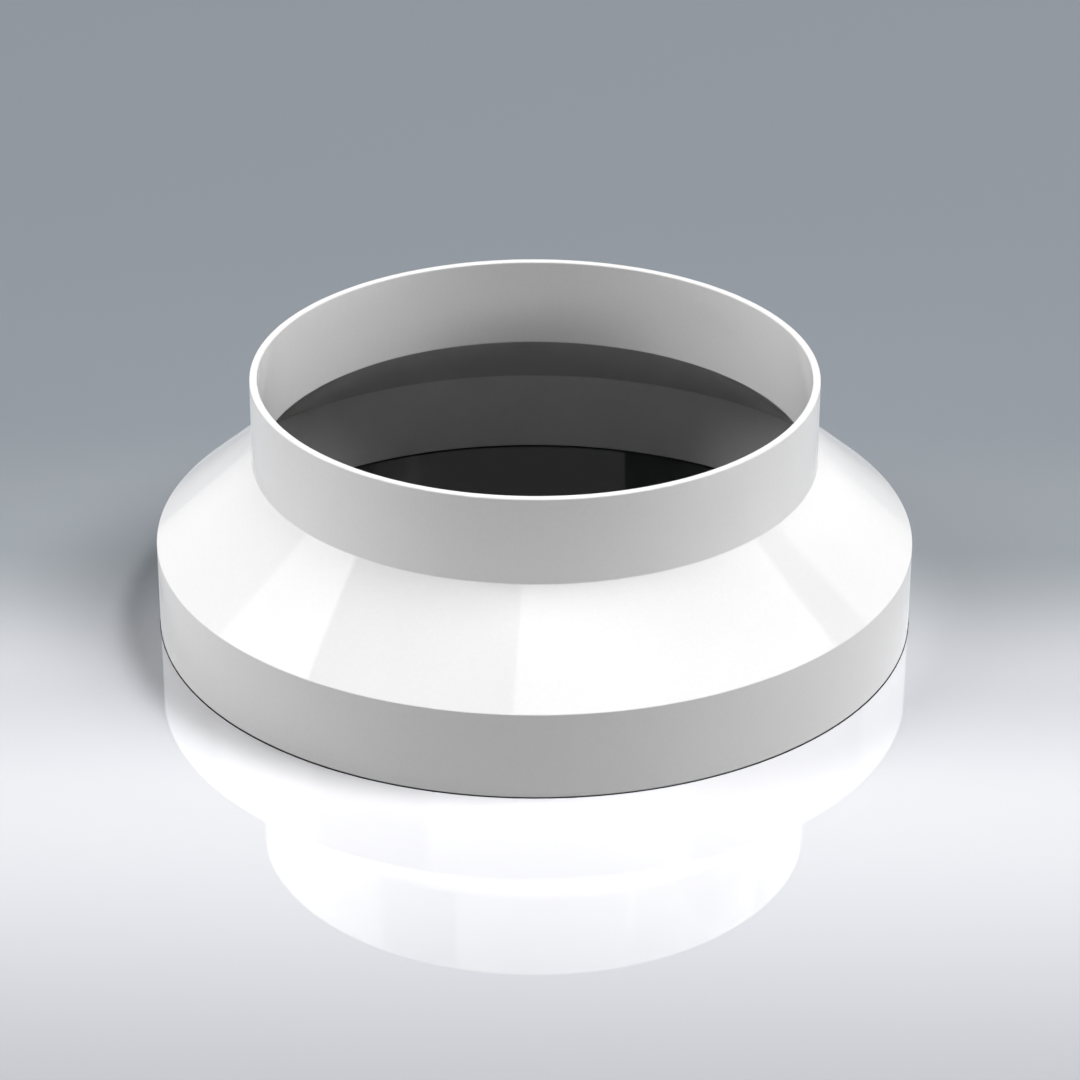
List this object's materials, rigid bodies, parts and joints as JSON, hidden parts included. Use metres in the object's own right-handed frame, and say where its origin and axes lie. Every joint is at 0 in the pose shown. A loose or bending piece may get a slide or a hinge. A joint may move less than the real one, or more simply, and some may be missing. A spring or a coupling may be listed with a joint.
{
  "type": "duct reducer",
  "caption": "Round plastic duct reducer: a wide straight collar and a narrow one joined by a conical shoulder, to connect round air ducts of different diameters.",
  "frame": {"origin": "on the duct axis, in the plane of the large collar's rim", "axes": "+Z along the duct axis, from the large collar to the small collar"},
  "size_m": [0.198, 0.198, 0.0685],
  "materials": {
    "moulded_plastic": "gloss white, as moulded"
  },
  "bodies": {
    "root": {"reducer_body": "moulded_plastic"}
  },
  "joints": []
}
